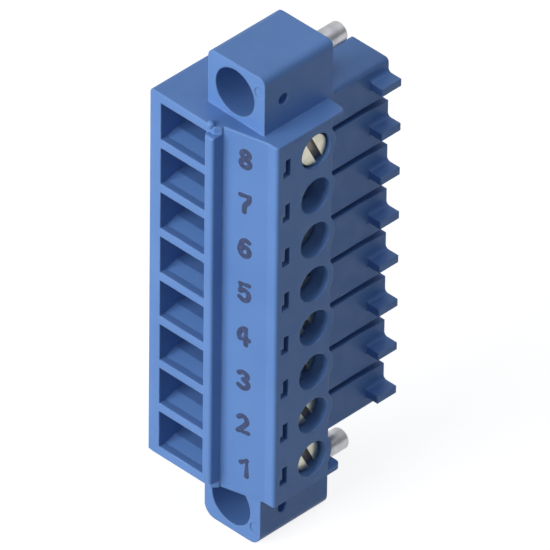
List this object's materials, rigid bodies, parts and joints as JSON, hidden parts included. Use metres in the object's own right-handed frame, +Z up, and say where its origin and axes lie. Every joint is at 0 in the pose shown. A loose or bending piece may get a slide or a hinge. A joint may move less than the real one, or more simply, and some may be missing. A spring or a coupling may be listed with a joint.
{
  "type": "terminal block",
  "caption": "Pluggable terminal block: blue moulded plug with a row of wire windows, slotted clamp screws and a screw flange at each end.",
  "frame": {"origin": "under the middle of the part's box, on the surface that the lower flange stands on", "axes": "+Z up along the row of poles, +X out of the screw face, +Y out of the plug's tip; wires enter from -Y"},
  "size_m": [0.011, 0.0154, 0.0404],
  "materials": {
    "housing_plastic": "moulded polyamide, blue, satin",
    "screw_nickel": "nickel plated steel, slightly yellow",
    "yoke_steel": "zinc plated steel strip",
    "contact_strip": "tin plated copper alloy",
    "flange_screw_steel": "nickel plated steel, smooth turned"
  },
  "bodies": {
    "housing": {"housing": "housing_plastic", "contact_1": "contact_strip", "contact_2": "contact_strip", "contact_3": "contact_strip", "contact_4": "contact_strip", "contact_5": "contact_strip", "contact_6": "contact_strip", "contact_7": "contact_strip", "contact_8": "contact_strip"},
    "terminal_screw_1": {"terminal_screw_1": "screw_nickel"},
    "clamp_yoke_1": {"clamp_yoke_1": "yoke_steel"},
    "terminal_screw_2": {"terminal_screw_2": "screw_nickel"},
    "clamp_yoke_2": {"clamp_yoke_2": "yoke_steel"},
    "terminal_screw_3": {"terminal_screw_3": "screw_nickel"},
    "clamp_yoke_3": {"clamp_yoke_3": "yoke_steel"},
    "terminal_screw_4": {"terminal_screw_4": "screw_nickel"},
    "clamp_yoke_4": {"clamp_yoke_4": "yoke_steel"},
    "terminal_screw_5": {"terminal_screw_5": "screw_nickel"},
    "clamp_yoke_5": {"clamp_yoke_5": "yoke_steel"},
    "terminal_screw_6": {"terminal_screw_6": "screw_nickel"},
    "clamp_yoke_6": {"clamp_yoke_6": "yoke_steel"},
    "terminal_screw_7": {"terminal_screw_7": "screw_nickel"},
    "clamp_yoke_7": {"clamp_yoke_7": "yoke_steel"},
    "terminal_screw_8": {"terminal_screw_8": "screw_nickel"},
    "clamp_yoke_8": {"clamp_yoke_8": "yoke_steel"},
    "flange_screw_lower": {"flange_screw_lower": "flange_screw_steel"},
    "flange_screw_upper": {"flange_screw_upper": "flange_screw_steel"}
  },
  "joints": [
    {"name": "yoke_lift_1", "type": "slide", "parent": "housing", "child": "clamp_yoke_1", "axis": [1, 0, 0], "range_m": [-0.00059, 0.00142]},
    {"name": "screw_turn_1", "type": "hinge", "parent": "housing", "child": "terminal_screw_1", "pos_m": [0.00367, -0.00203, 0.00685], "axis": [-1, 0, 0], "range_deg": [-526.6, 1273.6]},
    {"name": "yoke_lift_2", "type": "slide", "parent": "housing", "child": "clamp_yoke_2", "axis": [1, 0, 0], "range_m": [-0.00039, 0.00161]},
    {"name": "screw_turn_2", "type": "hinge", "parent": "housing", "child": "terminal_screw_2", "pos_m": [0.00367, -0.00203, 0.01066], "axis": [-1, 0, 0], "range_deg": [-351.1, 1449.1]},
    {"name": "yoke_lift_3", "type": "slide", "parent": "housing", "child": "clamp_yoke_3", "axis": [1, 0, 0], "range_m": [-0.00019, 0.0018]},
    {"name": "screw_turn_3", "type": "hinge", "parent": "housing", "child": "terminal_screw_3", "pos_m": [0.00367, -0.00203, 0.01447], "axis": [-1, 0, 0], "range_deg": [-175.6, 1624.6]},
    {"name": "yoke_lift_4", "type": "slide", "parent": "housing", "child": "clamp_yoke_4", "axis": [1, 0, 0], "range_m": [-0.00023, 0.00177]},
    {"name": "screw_turn_4", "type": "hinge", "parent": "housing", "child": "terminal_screw_4", "pos_m": [0.00367, -0.00203, 0.01828], "axis": [-1, 0, 0], "range_deg": [-204.85, 1595.35]},
    {"name": "yoke_lift_5", "type": "slide", "parent": "housing", "child": "clamp_yoke_5", "axis": [1, 0, 0], "range_m": [-0.0001, 0.0019]},
    {"name": "screw_turn_5", "type": "hinge", "parent": "housing", "child": "terminal_screw_5", "pos_m": [0.00367, -0.00203, 0.02209], "axis": [-1, 0, 0], "range_deg": [-87.85, 1712.35]},
    {"name": "yoke_lift_6", "type": "slide", "parent": "housing", "child": "clamp_yoke_6", "axis": [1, 0, 0], "range_m": [-0.0001, 0.0019]},
    {"name": "screw_turn_6", "type": "hinge", "parent": "housing", "child": "terminal_screw_6", "pos_m": [0.00367, -0.00203, 0.0259], "axis": [-1, 0, 0], "range_deg": [-87.85, 1712.35]},
    {"name": "yoke_lift_7", "type": "slide", "parent": "housing", "child": "clamp_yoke_7", "axis": [1, 0, 0], "range_m": [0, 0.002]},
    {"name": "screw_turn_7", "type": "hinge", "parent": "housing", "child": "terminal_screw_7", "pos_m": [0.00367, -0.00203, 0.02971], "axis": [-1, 0, 0], "range_deg": [-0.1, 1800.1]},
    {"name": "yoke_lift_8", "type": "slide", "parent": "housing", "child": "clamp_yoke_8", "axis": [1, 0, 0], "range_m": [-0.00082, 0.00118]},
    {"name": "screw_turn_8", "type": "hinge", "parent": "housing", "child": "terminal_screw_8", "pos_m": [0.00367, -0.00203, 0.03352], "axis": [-1, 0, 0], "range_deg": [-737.2, 1063]},
    {"name": "flange_screw_lower_turn", "type": "hinge", "parent": "housing", "child": "flange_screw_lower", "pos_m": [0.00097, 0.00079, 0.00215], "axis": [0, 1, 0], "continuous": true},
    {"name": "flange_screw_upper_turn", "type": "hinge", "parent": "housing", "child": "flange_screw_upper", "pos_m": [0.00097, 0.00079, 0.03784], "axis": [0, 1, 0], "continuous": true}
  ],
  "couplings": [
    {"joint": "screw_turn_1", "follows": "yoke_lift_1", "rad_per_m": 15708},
    {"joint": "screw_turn_2", "follows": "yoke_lift_2", "rad_per_m": 15708},
    {"joint": "screw_turn_3", "follows": "yoke_lift_3", "rad_per_m": 15708},
    {"joint": "screw_turn_4", "follows": "yoke_lift_4", "rad_per_m": 15708},
    {"joint": "screw_turn_5", "follows": "yoke_lift_5", "rad_per_m": 15708},
    {"joint": "screw_turn_6", "follows": "yoke_lift_6", "rad_per_m": 15708},
    {"joint": "screw_turn_7", "follows": "yoke_lift_7", "rad_per_m": 15708},
    {"joint": "screw_turn_8", "follows": "yoke_lift_8", "rad_per_m": 15708}
  ]
}
